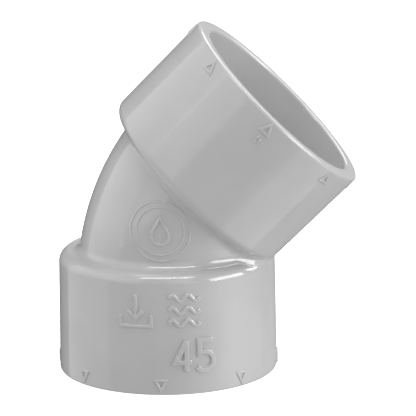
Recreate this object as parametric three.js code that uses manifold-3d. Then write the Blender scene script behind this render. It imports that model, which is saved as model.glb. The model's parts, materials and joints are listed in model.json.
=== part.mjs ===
// A 45 degree elbow for PVC drain pipe: two plain sockets joined by a short bend, moulded in one piece.
// Each region of the moulding is a mesh of its own. Millimetres, +Z up, standing on the lower rim.
import * as THREE from "three";
import { mergeVertices } from "three/addons/utils/BufferGeometryUtils.js";
import Module from "manifold-3d";

const wasm = await Module();
wasm.setup();

// Fitting
const bendAngle = Math.PI / 4;
const rimToCentre = 27.74; // from each rim to the point where the two axes cross
const bendRadius = 31; // of the bend's centreline
const bendOuterRadius = 15.64;
const waterwayRadius = 13;

// Socket, both alike: the outside narrows from the rim up, and the bore from the mouth in
const rimRadius = 19;
const shoulderRadius = 18.8;
const socketHeight = 21.1;
const mouthRadius = 16.25;
const seatRadius = 16.05;
const socketDepth = 18; // from the rim to the pipe stop
const rimRounding = 0.5;
const shoulderRounding = 1.9;

// Raised marks, measured to the middle of their lines
const markSunk = 0.4; // how far a mark's solid reaches into the wall
const indexMarkCount = 8; // round each rim
const indexMarkWidth = 1.76;
const indexMarkTip = 0.9; // from the rim
const indexMarkBase = 2.62; // from the rim
const indexMarkStroke = { line: 0.45, proud: 0.22 };
const figureHeight = 5.3;
const figureWidth = 2.7;
const figureGap = 1.1;
const figureAngle = THREE.MathUtils.degToRad(17.5); // round the lower socket, from the front
const figureLevel = 6.8; // middle of the figures, from the rim
const figureStroke = { line: 0.85, proud: 0.35 };
const signSize = 5.4;
const signAngle = THREE.MathUtils.degToRad(12.6); // to each side of the front
const signLevel = 14.8;
const signStroke = { line: 0.55, proud: 0.3 };
const smallFigureHeight = 1.6;
const smallFigureLevel = 4.3;
const smallFigureStroke = { line: 0.3, proud: 0.22 };
const emblemRingRadii = [5.1, 4.1];
const emblemRingStroke = { line: 0.3, proud: 0.12 };
const dropRadius = 1.5; // of the emblem's drop, at its round end
const dropHeight = 4.6;
const dropStroke = { line: 0.45, proud: 0.25 };

// Facets
const roundSegments = 64;
const bendSteps = 10;
const filletDivisions = 2;
const ringSegments = 36;
const figureArcSegments = 9;
const waveSteps = 12;

const tangentLength = bendRadius * Math.tan(bendAngle / 2);
const mitreAngle = bendAngle / 2;
const cuttingSize = 100;

const plastic = { color: 0xb6b7ba, roughness: 0.42, metalness: 0 };

class BendCentreline extends THREE.Curve {
  getPoint(t, target = new THREE.Vector3()) {
    const angle = t * bendAngle;
    const x = bendRadius * (1 - Math.cos(angle));
    const z = bendRadius * Math.sin(angle) - tangentLength;
    return target.set(x, 0, z);
  }
}

function solidFrom(geometry) {
  geometry.deleteAttribute("normal");
  geometry.deleteAttribute("uv");
  const merged = mergeVertices(geometry);
  const corners = merged.index.array;
  const triangles = [];
  for (let i = 0; i < corners.length; i += 3) {
    const [a, b, c] = corners.slice(i, i + 3);
    if (a !== b && b !== c && c !== a) {
      triangles.push(a, b, c);
    }
  }
  const vertProperties = new Float32Array(merged.attributes.position.array);
  const triVerts = new Uint32Array(triangles);
  return new wasm.Manifold(new wasm.Mesh({ numProp: 3, vertProperties, triVerts }));
}

function meshFrom(name, solid) {
  const { vertProperties, triVerts } = solid.getMesh();
  const geometry = new THREE.BufferGeometry();
  geometry.setAttribute("position", new THREE.BufferAttribute(vertProperties, 3));
  geometry.setIndex(new THREE.BufferAttribute(triVerts, 1));
  geometry.computeVertexNormals();
  const mesh = new THREE.Mesh(geometry, new THREE.MeshStandardMaterial(plastic));
  mesh.name = name;
  return mesh;
}

// Everything beyond a plane through (0, 0, level), on the side of +Z turned towards +X by the angle.
function beyondPlane(level, angle) {
  const box = new THREE.BoxGeometry(cuttingSize, cuttingSize, cuttingSize);
  box.translate(0, 0, cuttingSize / 2);
  box.rotateY(angle);
  box.translate(0, 0, level);
  return solidFrom(box);
}

// Marks are drawn flat: x to the right, y up from the rim, z out of the wall.
function offsetLine(points, closed, distance) {
  const count = points.length;
  const heading = (from, to) => new THREE.Vector2().subVectors(to, from).normalize();
  return points.map((point, i) => {
    const isFirst = !closed && i === 0;
    const isLast = !closed && i === count - 1;
    const before = points[(i + count - 1) % count];
    const after = points[(i + 1) % count];
    const into = isFirst ? heading(point, after) : heading(before, point);
    const out = isLast ? into : heading(point, after);
    const along = new THREE.Vector2().addVectors(into, out).normalize();
    const reach = distance / along.dot(into);
    return new THREE.Vector2(point.x - along.y * reach, point.y + along.x * reach);
  });
}

function strokeShape({ points, line, closed = false }) {
  const left = offsetLine(points, closed, line / 2);
  const right = offsetLine(points, closed, -line / 2);
  if (!closed) {
    return new THREE.Shape([...left, ...right.reverse()]);
  }
  const rightIsOutside = !THREE.ShapeUtils.isClockWise(points);
  const shape = new THREE.Shape(rightIsOutside ? right : left);
  shape.holes.push(new THREE.Path(rightIsOutside ? left : right));
  return shape;
}

function strokeGeometry(stroke) {
  const depth = stroke.proud + markSunk;
  const geometry = new THREE.ExtrudeGeometry(strokeShape(stroke), { depth, bevelEnabled: false });
  geometry.translate(0, 0, -markSunk);
  return geometry;
}

function movePoints(geometry, place) {
  const positions = geometry.attributes.position;
  const point = new THREE.Vector3();
  for (let i = 0; i < positions.count; i += 1) {
    point.fromBufferAttribute(positions, i);
    place(point);
    positions.setXYZ(i, point.x, point.y, point.z);
  }
  return geometry;
}

function socketRadiusAt(level) {
  const share = level / (socketHeight - shoulderRounding);
  return THREE.MathUtils.lerp(rimRadius, shoulderRadius, share);
}

function onSocket(stroke, facing) {
  return movePoints(strokeGeometry(stroke), (point) => {
    const wall = socketRadiusAt(point.y);
    const angle = facing + point.x / wall;
    const reach = wall + point.z;
    point.set(reach * Math.cos(angle), reach * Math.sin(angle), point.y);
  });
}

function onBend(stroke) {
  return movePoints(strokeGeometry(stroke), (point) => {
    const fromArcCentre = Math.hypot(point.x - bendRadius, point.y + tangentLength);
    const wall = Math.sqrt(bendOuterRadius ** 2 - (fromArcCentre - bendRadius) ** 2);
    point.set(point.x, -wall - point.z, point.y);
  });
}

function arcPoints(x, y, radius, from, to, segments) {
  return Array.from({ length: segments + 1 }, (_, i) => {
    const angle = THREE.MathUtils.degToRad(THREE.MathUtils.lerp(from, to, i / segments));
    return new THREE.Vector2(x + radius * Math.cos(angle), y + radius * Math.sin(angle));
  });
}

function linePoints(...pairs) {
  return pairs.map(([x, y]) => new THREE.Vector2(x, y));
}

function moved(strokes, x, y) {
  const shift = new THREE.Vector2(x, y);
  return strokes.map((stroke) => {
    const points = stroke.points.map((point) => point.clone().add(shift));
    return { ...stroke, points };
  });
}

function drawn(strokes, style) {
  return strokes.map((stroke) => ({ ...stroke, ...style }));
}

function ring(radius) {
  return { points: arcPoints(0, 0, radius, 0, 360, ringSegments).slice(0, -1), closed: true };
}

function indexMark() {
  const half = indexMarkWidth / 2;
  const points = linePoints([0, indexMarkTip], [half, indexMarkBase], [-half, indexMarkBase]);
  return drawn([{ points, closed: true }], indexMarkStroke);
}

// The figures and signs are centred on (0, 0) until they are moved to their places.
function figureFour(height, width) {
  const top = height / 2;
  const stem = width * 0.2;
  const bar = height * 0.3 - top;
  return [
    { points: linePoints([stem, -top], [stem, top]) },
    { points: linePoints([stem, top], [-width / 2, bar], [width / 2, bar]) },
  ];
}

function figureFive(height, width) {
  const top = height / 2;
  const bowl = height * 0.31;
  const neck = -width * 0.38;
  const bowlPoints = arcPoints(-width * 0.06, bowl - top, bowl, 120, -140, figureArcSegments);
  return [{ points: [...linePoints([width / 2, top], [neck, top]), ...bowlPoints] }];
}

function drainSign() {
  const half = signSize / 2;
  const head = half * 0.5;
  const rim = -half * 0.3;
  const arrow = linePoints([0, half], [0, -head]);
  const arrowhead = linePoints([-head, 0], [0, -head], [head, 0]);
  const tray = linePoints([-half, rim], [-half, -half], [half, -half], [half, rim]);
  return drawn([{ points: arrow }, { points: arrowhead }, { points: tray }], signStroke);
}

function waveSign() {
  const half = signSize / 2;
  const crest = signSize * 0.1;
  const wave = Array.from({ length: waveSteps + 1 }, (_, i) => {
    const x = THREE.MathUtils.lerp(-half, half, i / waveSteps);
    return new THREE.Vector2(x, crest * Math.sin((x / half) * 2 * Math.PI));
  });
  const levels = [crest - half, 0, half - crest];
  return drawn(levels.flatMap((level) => moved([{ points: wave }], 0, level)), signStroke);
}

function dropEmblem() {
  const centre = dropRadius - dropHeight / 2;
  const tip = new THREE.Vector2(0, dropHeight / 2);
  const roundEnd = arcPoints(0, centre, dropRadius, 160, 380, figureArcSegments);
  const rings = drawn(emblemRingRadii.map((radius) => ring(radius)), emblemRingStroke);
  const drop = drawn([{ points: [tip, ...roundEnd], closed: true }], dropStroke);
  return [...rings, ...drop];
}

function socketProfile() {
  const outside = Math.atan2(rimRadius - shoulderRadius, socketHeight);
  const profile = new THREE.Path();
  profile.moveTo(0, socketDepth);
  profile.lineTo(seatRadius, socketDepth);
  profile.lineTo(mouthRadius, rimRounding);
  profile.absarc(mouthRadius + rimRounding, rimRounding, rimRounding, Math.PI, 1.5 * Math.PI, false);
  profile.absarc(rimRadius - rimRounding, rimRounding, rimRounding, 1.5 * Math.PI, 2 * Math.PI, false);
  const roundingX = shoulderRadius - shoulderRounding;
  const roundingY = socketHeight - shoulderRounding;
  profile.absarc(roundingX, roundingY, shoulderRounding, outside, Math.PI / 2, false);
  profile.lineTo(0, socketHeight);
  return profile.getPoints(filletDivisions);
}

function bendSolid(radius) {
  const circle = new THREE.Shape(arcPoints(0, 0, radius, 0, 360, roundSegments).slice(0, -1));
  const options = { steps: bendSteps, extrudePath: new BendCentreline() };
  return solidFrom(new THREE.ExtrudeGeometry(circle, options));
}

// A socket stands on its rim at z = 0 with its axis on Z and the crotch of the elbow on its +X side.
function socketSolid(marks) {
  const shell = new THREE.LatheGeometry(socketProfile(), roundSegments);
  shell.rotateX(Math.PI / 2);
  const waterway = bendSolid(waterwayRadius).translate([0, 0, rimToCentre]);
  const marked = marks.reduce((solid, mark) => solid.add(solidFrom(mark)), solidFrom(shell));
  return marked.subtract(waterway).subtract(beyondPlane(rimToCentre, mitreAngle));
}

function indexMarks() {
  const turns = Array.from({ length: indexMarkCount }, (_, i) => (i * 2 * Math.PI) / indexMarkCount);
  return turns.flatMap((angle) => indexMark().map((stroke) => onSocket(stroke, angle)));
}

function lowerSocket() {
  const front = -Math.PI / 2;
  const step = (figureWidth + figureGap) / 2;
  const four = moved(figureFour(figureHeight, figureWidth), -step, figureLevel);
  const five = moved(figureFive(figureHeight, figureWidth), step, figureLevel);
  const figures = drawn([...four, ...five], figureStroke);
  const marks = [
    ...indexMarks(),
    ...figures.map((stroke) => onSocket(stroke, front + figureAngle)),
    ...moved(drainSign(), 0, signLevel).map((stroke) => onSocket(stroke, front - signAngle)),
    ...moved(waveSign(), 0, signLevel).map((stroke) => onSocket(stroke, front + signAngle)),
  ];
  return meshFrom("lower_socket", socketSolid(marks));
}

function upperSocket() {
  const front = Math.PI / 2;
  const figure = drawn(figureFour(smallFigureHeight, smallFigureHeight / 2), smallFigureStroke);
  const marks = [
    ...indexMarks(),
    ...moved(figure, 0, smallFigureLevel).map((stroke) => onSocket(stroke, front)),
  ];
  return meshFrom("upper_socket", socketSolid(marks));
}

// The bend is drawn about the point where the two axes cross, and ends on the tops of the two sockets.
function bend() {
  const endToCentre = rimToCentre - socketHeight;
  const emblem = dropEmblem().map((stroke) => solidFrom(onBend(stroke)));
  const body = emblem.reduce((solid, mark) => solid.add(mark), bendSolid(bendOuterRadius));
  const tube = body.subtract(bendSolid(waterwayRadius));
  const lowerEnd = beyondPlane(-endToCentre, Math.PI);
  const upperEnd = beyondPlane(endToCentre / Math.cos(bendAngle), bendAngle);
  return meshFrom("bend", tube.subtract(lowerEnd).subtract(upperEnd));
}

// Half a turn about the line from the centre to the crotch carries the lower arm onto the upper one.
function buildElbow() {
  const lowerArm = new THREE.Group();
  const upperArm = new THREE.Group();
  const crotch = new THREE.Vector3(Math.cos(mitreAngle), 0, -Math.sin(mitreAngle));
  upperArm.quaternion.setFromAxisAngle(crotch, Math.PI);
  lowerArm.add(lowerSocket());
  upperArm.add(upperSocket());
  for (const arm of [lowerArm, upperArm]) {
    arm.children[0].position.z = -rimToCentre;
  }
  const fitting = new THREE.Group();
  fitting.add(lowerArm, upperArm, bend());
  return fitting;
}

// The origin is on the floor, under the middle of the elbow's box.
function standOnFloor(fitting) {
  const box = new THREE.Box3().setFromObject(fitting, true);
  const middle = box.getCenter(new THREE.Vector3());
  fitting.position.set(-middle.x, 0, rimToCentre);
  fitting.updateMatrixWorld(true);
  return fitting;
}

export default standOnFloor(buildElbow());
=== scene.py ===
import json
import math

import bpy
import numpy as np
from mathutils import Matrix, Vector


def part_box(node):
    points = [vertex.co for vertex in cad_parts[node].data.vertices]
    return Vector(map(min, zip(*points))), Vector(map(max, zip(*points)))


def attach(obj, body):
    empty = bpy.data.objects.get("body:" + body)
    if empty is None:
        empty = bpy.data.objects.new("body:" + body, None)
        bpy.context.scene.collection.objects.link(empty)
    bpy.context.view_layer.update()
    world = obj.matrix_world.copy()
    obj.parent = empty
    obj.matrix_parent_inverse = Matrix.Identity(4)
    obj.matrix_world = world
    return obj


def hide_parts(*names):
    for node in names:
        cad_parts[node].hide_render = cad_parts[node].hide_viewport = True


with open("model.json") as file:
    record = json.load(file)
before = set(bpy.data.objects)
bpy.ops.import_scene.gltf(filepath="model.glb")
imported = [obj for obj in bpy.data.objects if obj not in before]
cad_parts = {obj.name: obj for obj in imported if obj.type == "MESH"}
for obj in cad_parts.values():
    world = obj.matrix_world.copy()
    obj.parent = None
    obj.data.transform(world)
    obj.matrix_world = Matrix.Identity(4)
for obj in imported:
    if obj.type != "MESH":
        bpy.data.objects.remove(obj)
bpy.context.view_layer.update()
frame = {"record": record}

# ---------------------------------------------------------------- driving values
# Sizes are in millimetres and angles in degrees, unless a line says otherwise.
MM = 0.001

BEND_ANGLE = 45.0
BEND_RADIUS = 31.0  # of the bend's centreline
BEND_OUTER_RADIUS = 15.64
WATERWAY_RADIUS = 13.0

RIM_RADIUS = 19.0
SHOULDER_RADIUS = 18.8
MOUTH_RADIUS = 16.25
SEAT_RADIUS = 16.05
RIM_ROUNDING = 0.5
SHOULDER_ROUNDING = 1.9
BEND_FILLET = 1.5  # where the bend grows out of a socket's shoulder
CROTCH_FILLET = 0.9  # where the two sockets meet
STOP_EDGE = 0.3  # rounding of the pipe stop's inner edge
STOP_CORNER = 0.4  # fillet between the pipe stop and the bore

# Raised marks, as on the CAD model, measured to the middle of their lines. Levels start at the rim.
MARK_SUNK = 0.4  # how far a mark reaches into the wall
MARK_FOOT = 0.07  # rounding where a mark meets the wall
MARK_CROWN = 0.16  # rounding of a mark's upper edges
FOOT_LIMIT = 0.3  # the most that a foot takes of the mark's height
CROWN_LIMIT = 0.6  # the same for a crown
CROWN_WIDTH_LIMIT = 0.8  # the most that a crown takes of half the line
INDEX_MARKS = 8  # round each rim
INDEX_WIDTH = 1.76
INDEX_TIP = 0.9
INDEX_BASE = 2.62
INDEX_STROKE = {"line": 0.45, "proud": 0.21}
FIGURE_HEIGHT = 5.3
FIGURE_WIDTH = 2.7
FIGURE_GAP = 1.1
FIGURE_ANGLE = 17.5  # round the lower socket, from the front
FIGURE_LEVEL = 6.8
FIGURE_STROKE = {"line": 0.85, "proud": 0.34}
FOUR_STEM = 0.2  # right of the middle, as a share of the width
FOUR_BAR = 0.3  # above the foot, as a share of the height
FIVE_NECK = 0.38  # left of the middle, as a share of the width
FIVE_BOWL = 0.31  # radius, as a share of the height
FIVE_BOWL_SHIFT = 0.06  # left of the middle, as a share of the width
FIVE_BOWL_ARC = (120.0, -140.0)
SIGN_SIZE = 5.4
SIGN_ANGLE = 12.6  # to each side of the front
SIGN_LEVEL = 14.8
SIGN_STROKE = {"line": 0.55, "proud": 0.3}
ARROW_HEAD = 0.5  # as a share of half the sign
TRAY_RIM = 0.3  # below the middle, as a share of half the sign
WAVE_CREST = 0.1  # as a share of the sign
SMALL_FIGURE_HEIGHT = 1.6
SMALL_FIGURE_LEVEL = 4.3
SMALL_FIGURE_STROKE = {"line": 0.3, "proud": 0.22}
EMBLEM_RADII = (5.1, 4.1)
EMBLEM_RING_STROKE = {"line": 0.3, "proud": 0.12}
DROP_RADIUS = 1.5
DROP_HEIGHT = 4.6
DROP_ARC = (160.0, 380.0)
DROP_STROKE = {"line": 0.45, "proud": 0.25}
FRONT = -90.0  # round the axis, from the crotch side
BACK = 90.0

# Mesh of the wall: columns run round the axis, rows run along it
COLUMNS = 288
ARC_STEPS = 6
WATERWAY_STEPS = 8
STOP_EDGE_STEPS = 4
SIDE_STEPS = 14
TOP_ROWS = 64  # from below the shoulder to the mitre plane
TOP_START = 4.6  # below the socket's top
CURVE_STEPS = 160
ROW_SPACING = 0.55
ROWS_PER_RADIAN = 14.0
LEAN_LIMIT = -1.2  # the furthest in over the flat top that the ball may be, in its reach
BISECTIONS = 50
LEAST_FACING = 1e-3  # how much a wall has to face the mitre plane to form a groove
LEAST_OPENING = 1e-3  # of a groove's arc, in radians, because the arc divides by its sine
SHORTEST_STEP = 1e-6  # a shorter step has no heading of its own
TINY = 1e-9  # in place of 0 under a division

# Where the groove between the sockets runs out, its rows are evened out
CROTCH_REACH = math.radians(70.0)  # to each side of the crotch
CROTCH_EASE = math.radians(20.0)  # the outer part of that, where the smoothing fades
CROTCH_PASSES = 8
CROTCH_ONSET = 3.0  # full strength after a third of the rows

# Mesh of the marks
MARK_STEP = 0.4
FOOT_STEPS = 3
CROWN_STEPS = 4
WAVE_STEPS = 24
RING_STEPS = 96
FIGURE_ARC_STEPS = 20
MARK_EDGE_ANGLE = 50.0  # edges sharper than this aren't shaded smooth

# Finish. Each pattern has a size, and the range of its noise that is used.
WHITE = (1.0, 1.0, 1.0, 1.0)
BLACK = (0.0, 0.0, 0.0, 1.0)
PVC_DARK = (0.513, 0.513, 0.517, 1.0)
PVC_LIGHT = (0.546, 0.546, 0.550, 1.0)
MOTTLE_PER_MM = 0.09
MOTTLE_RANGE = (0.35, 0.65)
SPECK_COLOUR = (0.36, 0.36, 0.37, 1.0)
SPECK_STRENGTH = 0.35
SPECKS_PER_MM = 2.6
SPECK_RANGE = (0.73, 0.78)
RUBBED_COLOUR = (0.60, 0.60, 0.61, 1.0)
RUB_STRENGTH = 0.5
RUB_EDGE_RANGE = (0.52, 0.56)  # of the mesh's pointiness
RUB_PATCHES_PER_MM = 0.8
RUB_PATCH_RANGE = (0.42, 0.62)
SMUDGES_PER_MM = 0.22
SMUDGE_RANGE = (0.35, 0.7)
SMUDGE_ROUGHNESS = (0.07, 0.14)
STREAKS_PER_MM = 2.0
STREAK_STRETCH = 0.04
STREAK_RANGE = (0.4, 0.7)
STREAK_ROUGHNESS = 0.04
RUBBED_ROUGHNESS = 0.25
RIPPLES_PER_MM = 0.3
RIPPLE_HEIGHT = 4.0  # in grains
GRAINS_PER_MM = 3.2
GRAIN_HEIGHT = 0.0012

# Camera
CAMERA_AZIMUTH = math.radians(3.39)
CAMERA_ELEVATION = math.radians(13.48)
CAMERA_ROLL = math.radians(-0.69)
CAMERA_DISTANCE = 0.494  # in metres
CAMERA_LENS = 246.5
CAMERA_TARGET = (7.22, 0.44, 0.30)  # in millimetres, from the elbow's centre

# Studio. Lengths are in metres. Azimuth 0 is on the camera's side and 90 is on +X.
FLOOR_SIZE = 6.0
FLOOR_GLOW = 0.9
DOME_RADIUS = 4.5
DOME_GLOW = 1.0
STAGE_WHITE = (0.9, 0.9, 0.9, 1.0)
ROOM_BRIGHTNESS = 0.37
SOFTBOX_DISTANCE = 0.6
CARD_AZIMUTH = -145.5
CARD_ELEVATION = 2.5
CARD_WIDTH = 0.425
CARD_HEIGHT = 1.1
CARD_GLOW = 0.06
SOFTBOXES = (
    # name, azimuth and elevation of its middle, width, height, brightness
    ("left_low", -92.5, -20, 0.72, 0.44, 0.57),
    ("left_high", -92.5, 22.5, 0.71, 0.50, 0.96),
    ("front_left", -42.5, 22.5, 0.35, 0.50, 1.05),
    ("front_right", 17.5, 22.5, 0.25, 0.50, 0.85),
    ("below_right", 60, -55, 0.50, 0.50, 0.80),
    ("rear_high", 150, 35, 0.40, 0.50, 3.30),
    ("high_left", -60, 65, 0.40, 0.40, 0.23),
    ("high_right", 60, 65, 0.40, 0.40, 0.32),
    ("overhead", 0, 90, 0.40, 0.40, 1.94),
)
RIGHT_BANK = (0.15, 0.4, 0.85, 1.4, 1.6, 1.2, 0.7, 0.4)  # brightness of tall boxes, side by side
RIGHT_BANK_START = 30.0
RIGHT_BANK_STEP = 12.0
RIGHT_BANK_HEIGHT = 0.94
GLINTS = (
    # the same columns, for the bright boxes that show only as reflections in the rounded edges
    ("strip_high", 3, 62, 0.46, 0.14, 10.0),
    ("strip_right", 70, 13, 0.44, 0.25, 9.0),
    ("spot_right", 112, 21, 0.10, 0.18, 10.0),
)

# ---------------------------------------------------------------- places, from the frame
mounts = {mount["name"]: mount for mount in frame["record"]["mounts"]}
socket_low, socket_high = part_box("lower_socket")
lower_axis_x = (socket_low.x + socket_high.x) / 2
upper_rim_x = mounts["upper_rim"]["pos_m"][0]
rim_to_centre = (upper_rim_x - lower_axis_x) / math.sin(math.radians(BEND_ANGLE)) / MM
socket_height = (socket_high.z - socket_low.z) / MM
socket_depth = (mounts["lower_pipe_stop"]["pos_m"][2] - socket_low.z) / MM
elbow_centre = np.array((lower_axis_x, 0.0, socket_low.z + rim_to_centre * MM))

HALF_BEND = math.radians(BEND_ANGLE / 2)
TANGENT = BEND_RADIUS * math.tan(HALF_BEND)
RIM = -rim_to_centre  # heights of the lower socket, from the elbow's centre
STOP = RIM + socket_depth
TOP = RIM + socket_height
MITRE = np.array((math.sin(HALF_BEND), 0.0, math.cos(HALF_BEND)))
CROTCH = np.array((math.cos(HALF_BEND), 0.0, -math.sin(HALF_BEND)))
ARC_CENTRE = np.array((BEND_RADIUS, 0.0, -TANGENT))
SIDE_Y = np.array((0.0, 1.0, 0.0))
studio_middle = Vector((lower_axis_x, 0.0, elbow_centre[2]))


# ---------------------------------------------------------------- surfaces of the lower arm
def side_radius(level):
    """Outside of a socket, at a height above its rim."""
    share = (level - RIM_ROUNDING) / (socket_height - SHOULDER_ROUNDING - RIM_ROUNDING)
    return RIM_RADIUS + (SHOULDER_RADIUS - RIM_RADIUS) * share


def around_axis(radius, azimuth, height):
    """Points at a radius round the lower socket's axis."""
    radius, azimuth, height = np.broadcast_arrays(radius, azimuth, height)
    return np.stack((radius * np.cos(azimuth), radius * np.sin(azimuth), height), -1)


def inward(turn):
    """The direction from the bend's centreline to the centre of its arc."""
    return np.stack((np.cos(turn), np.zeros_like(turn), -np.sin(turn)), -1)


def on_bend(radius, tube_angle, turn):
    """Points of a round pipe that follows the bend, after a turn from its lower end."""
    tube_angle, turn = np.broadcast_arrays(tube_angle, turn)
    reach = BEND_RADIUS - radius * np.cos(tube_angle)
    across = radius * np.sin(tube_angle)
    return ARC_CENTRE - reach[..., None] * inward(turn) + across[..., None] * SIDE_Y


def rounding_rows(azimuth, radius, height, rounding, start, end):
    """Rows of a quarter round about the socket's axis, with its centre at a radius and height."""
    angles = np.radians(np.linspace(start, end, ARC_STEPS + 1))
    return [
        around_axis(radius + rounding * math.cos(angle), azimuth, height + rounding * math.sin(angle))
        for angle in angles
    ]


def waterway_rows(azimuth):
    """From the mitre plane down the waterway and over the edge of the pipe stop."""
    reach = BEND_RADIUS - WATERWAY_RADIUS * np.cos(azimuth)
    last_turn = np.arcsin((STOP + STOP_EDGE + TANGENT) / reach)
    rows = []
    for share in np.linspace(0.0, 1.0, WATERWAY_STEPS + 1):
        turn = HALF_BEND + share * (last_turn - HALF_BEND)
        rows.append(on_bend(WATERWAY_RADIUS, azimuth, turn))
    wall = rows[-1]
    radius = np.hypot(wall[:, 0], wall[:, 1])
    heading = np.arctan2(wall[:, 1], wall[:, 0])
    for angle in np.radians(np.linspace(180.0, 270.0, STOP_EDGE_STEPS + 1))[1:]:
        edge = radius + STOP_EDGE * (1.0 + math.cos(angle))
        rows.append(around_axis(edge, heading, STOP + STOP_EDGE * (1.0 + math.sin(angle))))
    return rows


def ball_centres(azimuth):
    """A ball that rolls along the corner between a socket's shoulder and the bend.

    Returns how far round the shoulder's rounding it touches, which is less than 0 on the flat top,
    and its centres.
    """
    reach = SHOULDER_ROUNDING + BEND_FILLET
    hub = SHOULDER_RADIUS - SHOULDER_ROUNDING
    low = np.full_like(azimuth, LEAN_LIMIT)
    high = np.full_like(azimuth, math.pi / 2)
    for _ in range(BISECTIONS):
        lean = (low + high) / 2
        round_part = np.maximum(lean, 0.0)
        radius = hub + reach * (np.sin(round_part) + np.minimum(lean, 0.0))
        height = TOP - SHOULDER_ROUNDING + reach * np.cos(round_part)
        ball = around_axis(radius, azimuth, height)
        from_arc = np.hypot(ball[:, 0] - BEND_RADIUS, ball[:, 2] + TANGENT)
        gap = np.hypot(from_arc - BEND_RADIUS, ball[:, 1]) - BEND_OUTER_RADIUS - BEND_FILLET
        low = np.where(gap < 0, lean, low)
        high = np.where(gap < 0, high, lean)
    return lean, ball


def top_curves(azimuth):
    """Curves up the outside in many short steps: the side, the shoulder, the fillet and the bend."""
    steps = np.linspace(0.0, 1.0, CURVE_STEPS)[:, None]
    hub = SHOULDER_RADIUS - SHOULDER_ROUNDING
    lean, ball = ball_centres(azimuth)

    levels = socket_height - TOP_START + (TOP_START - SHOULDER_ROUNDING) * steps
    side = around_axis(side_radius(levels), azimuth, RIM + levels)

    down_from_top = math.pi / 2 + (np.maximum(lean, 0.0) - math.pi / 2) * steps
    shoulder_radius = hub + SHOULDER_ROUNDING * np.sin(down_from_top)
    shoulder_height = TOP - SHOULDER_ROUNDING + SHOULDER_ROUNDING * np.cos(down_from_top)
    shoulder = around_axis(shoulder_radius, azimuth, shoulder_height)

    flat_width = (SHOULDER_ROUNDING + BEND_FILLET) * np.minimum(lean, 0.0)
    flat = around_axis(hub + flat_width * steps, azimuth, TOP)

    from_arc = ball - ARC_CENTRE
    arc_distance = np.hypot(from_arc[:, 0], from_arc[:, 2])
    nearest = ARC_CENTRE + from_arc * np.array((1.0, 0.0, 1.0)) * (BEND_RADIUS / arc_distance)[:, None]
    out_of_bend = (ball - nearest) / (BEND_OUTER_RADIUS + BEND_FILLET)
    first = (flat[-1] - ball) / BEND_FILLET
    first /= np.linalg.norm(first, axis=-1, keepdims=True)
    opening = np.arccos(np.clip(-(first * out_of_bend).sum(-1), -1.0, 1.0))
    weight_first = (np.sin((1.0 - steps) * opening) / np.sin(opening))[..., None]
    weight_last = (np.sin(steps * opening) / np.sin(opening))[..., None]
    fillet = ball + BEND_FILLET * (weight_first * first - weight_last * out_of_bend)

    turn = np.arctan2(from_arc[:, 2], -from_arc[:, 0])
    tube_angle = np.arctan2(out_of_bend[:, 1], (out_of_bend * inward(turn)).sum(-1))
    bend = on_bend(BEND_OUTER_RADIUS, tube_angle, turn + (HALF_BEND - turn) * steps)
    return np.concatenate((side, shoulder[1:], flat[1:], fillet[1:], bend[1:]))


def end_at_mitre(curves):
    """Each curve ends square to the mitre plane, in the arc of a ball that rolls along the groove.

    Where the bend crosses the plane there is no groove, and the curve ends as it is.
    """
    along_groove = np.roll(curves, -1, 1) - np.roll(curves, 1, 1)
    normal = np.cross(along_groove, np.gradient(curves, axis=0))
    size = np.linalg.norm(normal, axis=-1, keepdims=True)
    normal /= np.maximum(size, TINY)
    depth = -(curves @ MITRE)
    facing = normal @ MITRE
    in_groove = (size[..., 0] > TINY) & (facing > LEAST_FACING)
    ball = np.where(in_groove, depth / np.maximum(facing, LEAST_FACING), np.inf)
    past = (ball < CROTCH_FILLET) | (depth <= 0)
    past[-1] = True
    first = past.argmax(0)
    columns = np.arange(curves.shape[1])
    start, out = curves[first, columns], normal[first, columns]
    radius = np.maximum(np.where(np.isinf(ball), 0.0, ball)[first, columns], 0.0)[:, None]
    inward_end = (out @ MITRE)[:, None] * MITRE - out
    inward_end /= np.linalg.norm(inward_end, axis=-1, keepdims=True)
    opening = np.arccos(np.clip(-(out * inward_end).sum(-1), -1.0, 1.0))[:, None]
    opening = np.maximum(opening, LEAST_OPENING)
    after = np.arange(len(curves))[:, None] - first[None, :]
    share = np.clip(after / np.maximum(len(curves) - 1 - first, 1), 0.0, 1.0)[..., None]
    spokes = np.sin(share * opening) * inward_end - np.sin((1.0 - share) * opening) * out
    arcs = start + radius * (out + spokes / np.sin(opening))
    arcs -= (arcs @ MITRE)[..., None] * MITRE * share
    return np.where(after[..., None] >= 0, arcs, curves)


def soften_crotch(rows, azimuth):
    """Evens out the short stretch where the groove runs out between the two sockets."""
    from_crotch = np.abs((azimuth + math.pi) % (2 * math.pi) - math.pi)
    near = np.clip((CROTCH_REACH - from_crotch) / CROTCH_EASE, 0.0, 1.0)[None, :, None]
    late = np.clip(CROTCH_ONSET * np.linspace(0.0, 1.0, len(rows)), 0.0, 1.0)[:, None, None]
    for _ in range(CROTCH_PASSES):
        beside = (np.roll(rows, 1, 1) + np.roll(rows, -1, 1)) / 2
        rows = rows + (beside - rows) * near * late / 2
    return rows


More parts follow.
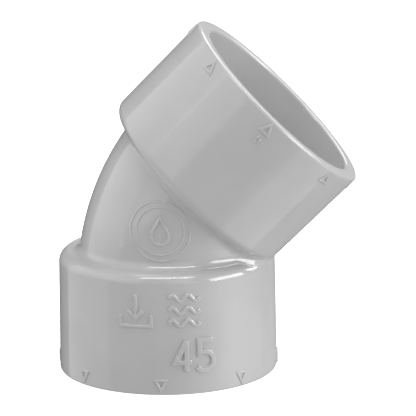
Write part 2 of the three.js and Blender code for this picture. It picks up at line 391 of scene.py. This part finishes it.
def even_rows(curves):
    """Each curve again with TOP_ROWS points, closer together where it turns."""
    steps = np.diff(curves, axis=0)
    lengths = np.linalg.norm(steps, axis=-1)
    headings = steps / np.maximum(lengths, TINY)[..., None]
    cosines = np.clip((headings[1:] * headings[:-1]).sum(-1), -1.0, 1.0)
    real = (lengths[1:] > SHORTEST_STEP) & (lengths[:-1] > SHORTEST_STEP)
    turning = np.where(real, np.arccos(cosines), 0.0)
    weights = lengths / ROW_SPACING
    weights[1:] += turning * ROWS_PER_RADIAN
    placed = np.concatenate((np.zeros((1, weights.shape[1])), np.cumsum(weights, 0)))
    rows = np.empty((TOP_ROWS, curves.shape[1], 3))
    for column in range(curves.shape[1]):
        wanted = np.linspace(0.0, placed[-1, column], TOP_ROWS)
        for axis in range(3):
            rows[:, column, axis] = np.interp(wanted, placed[:, column], curves[:, column, axis])
    return rows


def half_elbow_rows():
    """Rows round the lower half of the wall, from the mitre plane inside to the mitre plane outside."""
    azimuth = np.linspace(0.0, 2 * math.pi, COLUMNS, endpoint=False)
    corner_radius, corner_height = SEAT_RADIUS - STOP_CORNER, STOP - STOP_CORNER
    rim_height = RIM + RIM_ROUNDING
    rows = waterway_rows(azimuth)
    rows += rounding_rows(azimuth, corner_radius, corner_height, STOP_CORNER, 90, 0)
    rows.append(around_axis((SEAT_RADIUS + MOUTH_RADIUS) / 2, azimuth, (STOP + RIM) / 2))
    rows += rounding_rows(azimuth, MOUTH_RADIUS + RIM_ROUNDING, rim_height, RIM_ROUNDING, 180, 270)
    rows += rounding_rows(azimuth, RIM_RADIUS - RIM_ROUNDING, rim_height, RIM_ROUNDING, 270, 360)
    for level in np.linspace(RIM_ROUNDING, socket_height - TOP_START, SIDE_STEPS)[1:-1]:
        rows.append(around_axis(side_radius(level), azimuth, RIM + level))
    top = even_rows(end_at_mitre(top_curves(azimuth)))
    rows += list(soften_crotch(top, azimuth))
    return np.array(rows)


# ---------------------------------------------------------------- meshes
def in_frame(points):
    """From millimetres about the elbow's centre to metres in the row frame."""
    return elbow_centre + np.asarray(points) * MM


def make_piece(name, points, faces, material, sharp_above=None):
    """A piece of the elbow. Edges that turn by more than sharp_above degrees stay sharp."""
    mesh = bpy.data.meshes.new(name)
    mesh.from_pydata([tuple(point) for point in in_frame(points)], [], faces)
    mesh.validate()
    mesh.shade_smooth()
    if sharp_above is not None:
        mesh.set_sharp_from_angle(angle=math.radians(sharp_above))
    mesh.materials.append(material)
    piece = bpy.data.objects.new(name, mesh)
    bpy.context.scene.collection.objects.link(piece)
    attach(piece, "root")
    return piece


def make_moulding(material):
    """The elbow's whole wall as one closed skin: the lower half, and its mirror image."""
    lower = half_elbow_rows()
    row_count = len(lower)
    inner_rows = lower[1:-1]
    upper = inner_rows - 2 * (inner_rows @ MITRE)[..., None] * MITRE
    points = np.concatenate((lower.reshape(-1, 3), upper.reshape(-1, 3)))

    def index(half, row, column):
        if half == 1 and 0 < row < row_count - 1:
            return row_count * COLUMNS + (row - 1) * COLUMNS + column
        return row * COLUMNS + column

    faces = []
    for half in (0, 1):
        for row in range(row_count - 1):
            for column in range(COLUMNS):
                following = (column + 1) % COLUMNS
                corners = [
                    index(half, row, column),
                    index(half, row, following),
                    index(half, row + 1, following),
                    index(half, row + 1, column),
                ]
                faces.append(corners if half == 0 else corners[::-1])
    return make_piece("elbow_moulding", points, faces, material)


# ---------------------------------------------------------------- raised marks
# A mark is drawn flat, x to the right and y up from the rim, as strokes of one width.
def straight_lines(*corners):
    return np.array(corners, float)


def arc_points(x, y, radius, start, end, steps):
    angles = np.radians(np.linspace(start, end, steps + 1))
    return np.stack((x + radius * np.cos(angles), y + radius * np.sin(angles)), -1)


def in_short_steps(points, closed):
    """The same line with a point at least every MARK_STEP."""
    ends = np.concatenate((points, points[:1])) if closed else points
    finer = []
    for start, end in zip(ends[:-1], ends[1:]):
        count = max(1, math.ceil(np.linalg.norm(end - start) / MARK_STEP))
        finer += [start + (end - start) * step / count for step in range(count)]
    return np.array(finer if closed else finer + [ends[-1]])


def offsets_and_headings(points, closed):
    """At each point, the step to the left that keeps a parallel line one unit away, and the heading."""
    before = points - np.roll(points, 1, 0)
    after = np.roll(points, -1, 0) - points
    if not closed:
        before[0] = after[0]
        after[-1] = before[-1]
    before /= np.linalg.norm(before, axis=-1, keepdims=True)
    after /= np.linalg.norm(after, axis=-1, keepdims=True)
    along = before + after
    along /= np.linalg.norm(along, axis=-1, keepdims=True)
    across = np.stack((-along[:, 1], along[:, 0]), -1)
    return across / (along * before).sum(-1, keepdims=True), along


def ridge_section(line, proud):
    """Half of a ridge's cross-section, from its foot inside the wall to its flat top: (reach, lift)."""
    half = line / 2
    crown = min(MARK_CROWN, CROWN_WIDTH_LIMIT * half, CROWN_LIMIT * proud)
    foot = min(MARK_FOOT, FOOT_LIMIT * proud)
    section = [(half + foot, -MARK_SUNK)]
    for angle in np.radians(np.linspace(270.0, 180.0, FOOT_STEPS + 1)):
        section.append((half + foot * (1.0 + math.cos(angle)), foot * (1.0 + math.sin(angle))))
    for angle in np.radians(np.linspace(0.0, 90.0, CROWN_STEPS + 1)):
        reach = half + crown * (math.cos(angle) - 1.0)
        section.append((reach, proud + crown * (math.sin(angle) - 1.0)))
    return section


def ridge(points, line, proud, closed):
    """A stroke as one closed ridge: flat points (x, y, lift) and faces."""
    points = in_short_steps(points, closed)
    across, along = offsets_and_headings(points, closed)
    section = ridge_section(line, proud)
    vertices = []
    for place, step in zip(points, across):
        for side in (1, -1):
            for reach, lift in section:
                vertices.append((*(place + side * reach * step), lift))
    vertices = np.array(vertices)
    rungs = len(section)
    ring = 2 * rungs
    if not closed:
        slope = np.array([reach - line / 2 for reach, _ in section] * 2)[:, None]
        vertices[:ring, :2] -= slope * along[0]
        vertices[-ring:, :2] += slope * along[-1]

    def corner(station, side, rung):
        return (station % len(points)) * ring + side * rungs + rung

    faces = []
    for station in range(len(points) if closed else len(points) - 1):
        following = station + 1
        for rung in range(rungs - 1):
            for side, order in ((0, -1), (1, 1)):
                strip = [(station, rung), (following, rung), (following, rung + 1), (station, rung + 1)]
                faces.append([corner(place, side, level) for place, level in strip[::order]])
        for rung, order in ((rungs - 1, -1), (0, 1)):
            strip = [(station, 0), (following, 0), (following, 1), (station, 1)]
            faces.append([corner(place, side, rung) for place, side in strip[::order]])
    if not closed:
        for station, order in ((0, -1), (len(points) - 1, 1)):
            for rung in range(rungs - 1):
                strip = [(0, rung), (0, rung + 1), (1, rung + 1), (1, rung)]
                faces.append([corner(station, side, level) for side, level in strip[::order]])
    return vertices, faces


def wall_radius(level):
    """Outside of a socket, with the rounding of its rim."""
    below = np.maximum(RIM_ROUNDING - level, 0.0)
    return side_radius(level) - RIM_ROUNDING + np.sqrt(RIM_ROUNDING**2 - below**2)


def on_lower_socket(flat, facing):
    azimuth = math.radians(facing) + flat[:, 0] / RIM_RADIUS
    return around_axis(wall_radius(flat[:, 1]) + flat[:, 2], azimuth, RIM + flat[:, 1])


def on_upper_socket(flat, facing):
    """Half a turn about the line through the centre and the crotch takes one arm to the other."""
    points = on_lower_socket(flat, facing)
    return 2 * (points @ CROTCH)[:, None] * CROTCH - points


def on_bend_front(flat, facing):
    from_arc = np.hypot(flat[:, 0] - BEND_RADIUS, flat[:, 1] + TANGENT)
    wall = np.sqrt(BEND_OUTER_RADIUS**2 - (from_arc - BEND_RADIUS) ** 2)
    return np.stack((flat[:, 0], -wall - flat[:, 2], flat[:, 1]), -1)


def make_marks(name, strokes, place, facings, material, line, proud):
    """One piece made of ridges, laid on a wall at each facing. A stroke is (points, closed)."""
    points = []
    faces = []
    count = 0
    for facing in facings:
        for outline, closed in strokes:
            flat, ridge_faces = ridge(outline, line, proud, closed)
            points.append(place(flat, facing))
            faces += [[count + corner for corner in face] for face in ridge_faces]
            count += len(flat)
    make_piece(name, np.concatenate(points), faces, material, sharp_above=MARK_EDGE_ANGLE)


def moved(strokes, x, y):
    return [(points + np.array((x, y)), closed) for points, closed in strokes]


def index_mark():
    half = INDEX_WIDTH / 2
    corners = ((0, INDEX_TIP), (half, INDEX_BASE), (-half, INDEX_BASE))
    return [(straight_lines(*corners), True)]


def figure_four(height, width):
    top = height / 2
    stem = width * FOUR_STEM
    bar = height * FOUR_BAR - top
    return [
        (straight_lines((stem, -top), (stem, top)), False),
        (straight_lines((stem, top), (-width / 2, bar), (width / 2, bar)), False),
    ]


def figure_five(height, width):
    top = height / 2
    bowl = height * FIVE_BOWL
    neck = -width * FIVE_NECK
    middle = -width * FIVE_BOWL_SHIFT
    round_part = arc_points(middle, bowl - top, bowl, *FIVE_BOWL_ARC, FIGURE_ARC_STEPS)
    flag = straight_lines((width / 2, top), (neck, top))
    return [(np.concatenate((flag, round_part)), False)]


def drain_sign():
    """An arrow down into a tray."""
    half = SIGN_SIZE / 2
    head = half * ARROW_HEAD
    rim = -half * TRAY_RIM
    return [
        (straight_lines((0, half), (0, -head)), False),
        (straight_lines((-head, 0), (0, -head), (head, 0)), False),
        (straight_lines((-half, rim), (-half, -half), (half, -half), (half, rim)), False),
    ]


def wave_sign():
    half = SIGN_SIZE / 2
    crest = SIGN_SIZE * WAVE_CREST
    x = np.linspace(-half, half, WAVE_STEPS + 1)
    wave = [(np.stack((x, crest * np.sin(2 * math.pi * x / half)), -1), False)]
    return [stroke for level in (crest - half, 0, half - crest) for stroke in moved(wave, 0, level)]


def emblem_rings():
    return [(arc_points(0, 0, radius, 0, 360, RING_STEPS)[:-1], True) for radius in EMBLEM_RADII]


def emblem_drop():
    centre = DROP_RADIUS - DROP_HEIGHT / 2
    round_end = arc_points(0, centre, DROP_RADIUS, *DROP_ARC, FIGURE_ARC_STEPS)
    return [(np.concatenate((straight_lines((0, DROP_HEIGHT / 2)), round_end)), True)]


def make_all_marks(material):
    round_rim = [360.0 * turn / INDEX_MARKS for turn in range(INDEX_MARKS)]
    step = (FIGURE_WIDTH + FIGURE_GAP) / 2
    four = moved(figure_four(FIGURE_HEIGHT, FIGURE_WIDTH), -step, FIGURE_LEVEL)
    five = moved(figure_five(FIGURE_HEIGHT, FIGURE_WIDTH), step, FIGURE_LEVEL)
    drain = moved(drain_sign(), 0, SIGN_LEVEL)
    waves = moved(wave_sign(), 0, SIGN_LEVEL)
    small_four = figure_four(SMALL_FIGURE_HEIGHT, SMALL_FIGURE_HEIGHT / 2)
    cavity = moved(small_four, 0, SMALL_FIGURE_LEVEL)
    for name, strokes, place, facings, style in (
        ("lower_index_marks", index_mark(), on_lower_socket, round_rim, INDEX_STROKE),
        ("upper_index_marks", index_mark(), on_upper_socket, round_rim, INDEX_STROKE),
        ("angle_figures", four + five, on_lower_socket, [FRONT + FIGURE_ANGLE], FIGURE_STROKE),
        ("drain_sign", drain, on_lower_socket, [FRONT - SIGN_ANGLE], SIGN_STROKE),
        ("wave_sign", waves, on_lower_socket, [FRONT + SIGN_ANGLE], SIGN_STROKE),
        ("cavity_figure", cavity, on_upper_socket, [BACK], SMALL_FIGURE_STROKE),
        ("emblem_rings", emblem_rings(), on_bend_front, [FRONT], EMBLEM_RING_STROKE),
        ("emblem_drop", emblem_drop(), on_bend_front, [FRONT], DROP_STROKE),
    ):
        make_marks(name, strokes, place, facings, material, **style)


# ---------------------------------------------------------------- material
class Nodes:
    """Adds nodes to a material and links values into them by socket name."""

    def __init__(self, material):
        self.tree = material.node_tree

    def add(self, kind, inputs, **settings):
        node = self.tree.nodes.new(kind)
        for name, value in settings.items():
            setattr(node, name, value)
        for name, value in inputs.items():
            if isinstance(value, bpy.types.NodeSocket):
                self.tree.links.new(value, node.inputs[name])
            else:
                node.inputs[name].default_value = value
        return node

    def noise(self, place, per_mm, detail):
        inputs = {"Vector": place, "Scale": per_mm / MM, "Detail": detail}
        return self.add("ShaderNodeTexNoise", inputs).outputs["Fac"]

    def spread(self, value, given, wanted=(0.0, 1.0)):
        """Maps a value from one range to another, and keeps it within the second."""
        inputs = {"Value": value, "From Min": given[0], "From Max": given[1]}
        inputs |= {"To Min": wanted[0], "To Max": wanted[1]}
        return self.add("ShaderNodeMapRange", inputs, clamp=True).outputs["Result"]

    def calculate(self, operation, first, second):
        node = self.add("ShaderNodeMath", {}, operation=operation)
        for socket, value in zip(node.inputs, (first, second)):
            if isinstance(value, bpy.types.NodeSocket):
                self.tree.links.new(value, socket)
            else:
                socket.default_value = value
        return node.outputs["Value"]

    def mix(self, share, first, second):
        inputs = {"Factor": share}
        node = self.add("ShaderNodeMix", inputs, data_type="RGBA")
        for name, value in (("A", first), ("B", second)):
            socket = next(item for item in node.inputs if item.name == name and item.type == "RGBA")
            if isinstance(value, bpy.types.NodeSocket):
                self.tree.links.new(value, socket)
            else:
                socket.default_value = value
        return next(item for item in node.outputs if item.type == "RGBA")


def drawn_streaks(nodes, place, lean):
    """Fine scratches along a socket's axis, left where the mould's core and shell drew off."""
    upright = {"Vector": place, "Rotation": (0.0, -lean, 0.0)}
    turned = nodes.add("ShaderNodeMapping", upright, vector_type="POINT")
    along = {"Vector": turned.outputs["Vector"], "Scale": (1.0, 1.0, STREAK_STRETCH)}
    stretched = nodes.add("ShaderNodeMapping", along, vector_type="POINT")
    return nodes.noise(stretched.outputs["Vector"], STREAKS_PER_MM, 3.0)


def pvc_material():
    """Light grey moulded PVC: glossy, faintly mottled, with rubbed rims and fine specks."""
    material = bpy.data.materials.new("pvc_grey")
    material.use_nodes = True
    nodes = Nodes(material)
    shader = material.node_tree.nodes["Principled BSDF"]
    place = nodes.add("ShaderNodeTexCoord", {}).outputs["Object"]

    flow = nodes.spread(nodes.noise(place, MOTTLE_PER_MM, 3.0), MOTTLE_RANGE)
    colour = nodes.mix(flow, PVC_DARK, PVC_LIGHT)
    dots = nodes.noise(place, SPECKS_PER_MM, 1.0)
    specks = nodes.spread(dots, SPECK_RANGE, (0.0, SPECK_STRENGTH))
    colour = nodes.mix(specks, colour, SPECK_COLOUR)
    pointiness = nodes.add("ShaderNodeNewGeometry", {}).outputs["Pointiness"]
    patches = nodes.spread(nodes.noise(place, RUB_PATCHES_PER_MM, 4.0), RUB_PATCH_RANGE)
    edges = nodes.spread(pointiness, RUB_EDGE_RANGE, (0.0, RUB_STRENGTH))
    worn = nodes.calculate("MULTIPLY", edges, patches)
    colour = nodes.mix(worn, colour, RUBBED_COLOUR)
    material.node_tree.links.new(colour, shader.inputs["Base Color"])

    above_mitre = nodes.add("ShaderNodeVectorMath", {}, operation="DOT_PRODUCT")
    material.node_tree.links.new(place, above_mitre.inputs[0])
    above_mitre.inputs[1].default_value = MITRE
    mitre_height = float(elbow_centre @ MITRE)
    upper_side = nodes.calculate("GREATER_THAN", above_mitre.outputs["Value"], mitre_height)
    lower_streaks = drawn_streaks(nodes, place, 0.0)
    upper_streaks = drawn_streaks(nodes, place, math.radians(BEND_ANGLE))
    streaks = nodes.mix(upper_side, lower_streaks, upper_streaks)

    clouds = nodes.noise(place, SMUDGES_PER_MM, 4.0)
    smudges = nodes.spread(clouds, SMUDGE_RANGE, SMUDGE_ROUGHNESS)
    drawn = nodes.spread(streaks, STREAK_RANGE, (0.0, STREAK_ROUGHNESS))
    rubbed = nodes.calculate("MULTIPLY", worn, RUBBED_ROUGHNESS)
    roughness = nodes.calculate("ADD", nodes.calculate("ADD", smudges, drawn), rubbed)
    material.node_tree.links.new(roughness, shader.inputs["Roughness"])

    ripple = nodes.calculate("MULTIPLY", nodes.noise(place, RIPPLES_PER_MM, 1.0), RIPPLE_HEIGHT)
    grain = nodes.noise(place, GRAINS_PER_MM, 2.0)
    lift = nodes.calculate("ADD", ripple, grain)
    height = nodes.calculate("ADD", lift, streaks)
    relief = {"Height": height, "Strength": 1.0, "Distance": GRAIN_HEIGHT * MM}
    bump = nodes.add("ShaderNodeBump", relief)
    material.node_tree.links.new(bump.outputs["Normal"], shader.inputs["Normal"])
    return material


# ---------------------------------------------------------------- studio
def make_camera():
    turned = Matrix.Rotation(CAMERA_AZIMUTH, 3, "Z")
    back = turned @ Vector((0.0, -math.cos(CAMERA_ELEVATION), math.sin(CAMERA_ELEVATION)))
    level_right = turned @ Vector((1.0, 0.0, 0.0))
    right = Matrix.Rotation(CAMERA_ROLL, 3, back) @ level_right
    up = back.cross(right)
    place = Vector(in_frame(CAMERA_TARGET)) + back * CAMERA_DISTANCE
    camera = bpy.data.objects.new("camera", bpy.data.cameras.new("camera"))
    camera.data.lens = CAMERA_LENS
    camera.matrix_world = Matrix.Translation(place) @ Matrix((right, up, back)).transposed().to_4x4()
    bpy.context.scene.collection.objects.link(camera)
    bpy.context.scene.camera = camera


def put_on_stage(name, colour, glow, mirrored=False):
    """Finishes the newest object as a matt, glowing piece of the stage.

    It casts no shadow and sheds no light on the elbow. It shows only to the camera, or if it is
    mirrored, only in reflections.
    """
    piece = bpy.context.object
    piece.name = name
    material = bpy.data.materials.new(name + "_glow")
    material.use_nodes = True
    shader = material.node_tree.nodes["Principled BSDF"]
    shader.inputs["Base Color"].default_value = colour
    shader.inputs["Roughness"].default_value = 1.0
    shader.inputs["Specular IOR Level"].default_value = 0.0
    shader.inputs["Emission Color"].default_value = WHITE
    shader.inputs["Emission Strength"].default_value = glow
    piece.data.materials.append(material)
    piece.visible_camera = not mirrored
    piece.visible_glossy = mirrored
    piece.visible_diffuse = False
    piece.visible_shadow = False


def make_stage():
    """A white table under a white dome."""
    bpy.ops.mesh.primitive_plane_add(size=FLOOR_SIZE, location=(0.0, 0.0, 0.0))
    put_on_stage("floor", STAGE_WHITE, FLOOR_GLOW)
    bpy.ops.mesh.primitive_uv_sphere_add(radius=DOME_RADIUS, location=(0.0, 0.0, 0.0))
    put_on_stage("dome", STAGE_WHITE, DOME_GLOW)


def towards(azimuth, elevation):
    """A direction seen from the elbow."""
    turn = math.radians(azimuth)
    lift = math.radians(elevation)
    level = math.cos(lift)
    return Vector((math.sin(turn) * level, -math.cos(turn) * level, math.sin(lift)))


def softbox(name, azimuth, elevation, width, height, brightness):
    """A flat lamp that faces the elbow. Its brightness is the same however large it is."""
    lamp = bpy.data.objects.new(name, bpy.data.lights.new(name, "AREA"))
    lamp.data.shape = "RECTANGLE"
    lamp.data.size = width
    lamp.data.size_y = height
    lamp.data.energy = brightness * math.pi * width * height
    away = towards(azimuth, elevation)
    lamp.location = studio_middle + away * SOFTBOX_DISTANCE
    lamp.rotation_euler = away.to_track_quat("Z", "Y").to_euler()
    lamp.visible_camera = False
    bpy.context.scene.collection.objects.link(lamp)
    return lamp


def make_dark_card():
    """A dim card for the left flank to mirror, so that the flank's edge shows against the white."""
    away = towards(CARD_AZIMUTH, CARD_ELEVATION)
    bpy.ops.mesh.primitive_plane_add(size=1.0, location=studio_middle + away * SOFTBOX_DISTANCE)
    card = bpy.context.object
    card.scale = (CARD_WIDTH, CARD_HEIGHT, 1.0)
    card.rotation_euler = away.to_track_quat("Z", "Y").to_euler()
    put_on_stage("dark_card", BLACK, CARD_GLOW, mirrored=True)


def make_studio():
    world = bpy.data.worlds.new("studio")
    bpy.context.scene.world = world
    world.use_nodes = True
    background = world.node_tree.nodes["Background"]
    background.inputs["Color"].default_value = WHITE
    background.inputs["Strength"].default_value = ROOM_BRIGHTNESS
    for settings in SOFTBOXES:
        softbox(*settings)
    width = 2 * SOFTBOX_DISTANCE * math.tan(math.radians(RIGHT_BANK_STEP / 2))
    for index, brightness in enumerate(RIGHT_BANK):
        azimuth = RIGHT_BANK_START + RIGHT_BANK_STEP * index
        softbox(f"right_bank_{index + 1}", azimuth, 0.0, width, RIGHT_BANK_HEIGHT, brightness)
    for settings in GLINTS:
        softbox(*settings).visible_diffuse = False
    make_dark_card()
    bpy.context.scene.view_settings.view_transform = "Standard"


# ---------------------------------------------------------------- the scene
make_camera()
pvc = pvc_material()
moulding = make_moulding(pvc)
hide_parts("lower_socket", "bend", "upper_socket")
make_all_marks(pvc)
make_stage()
make_studio()
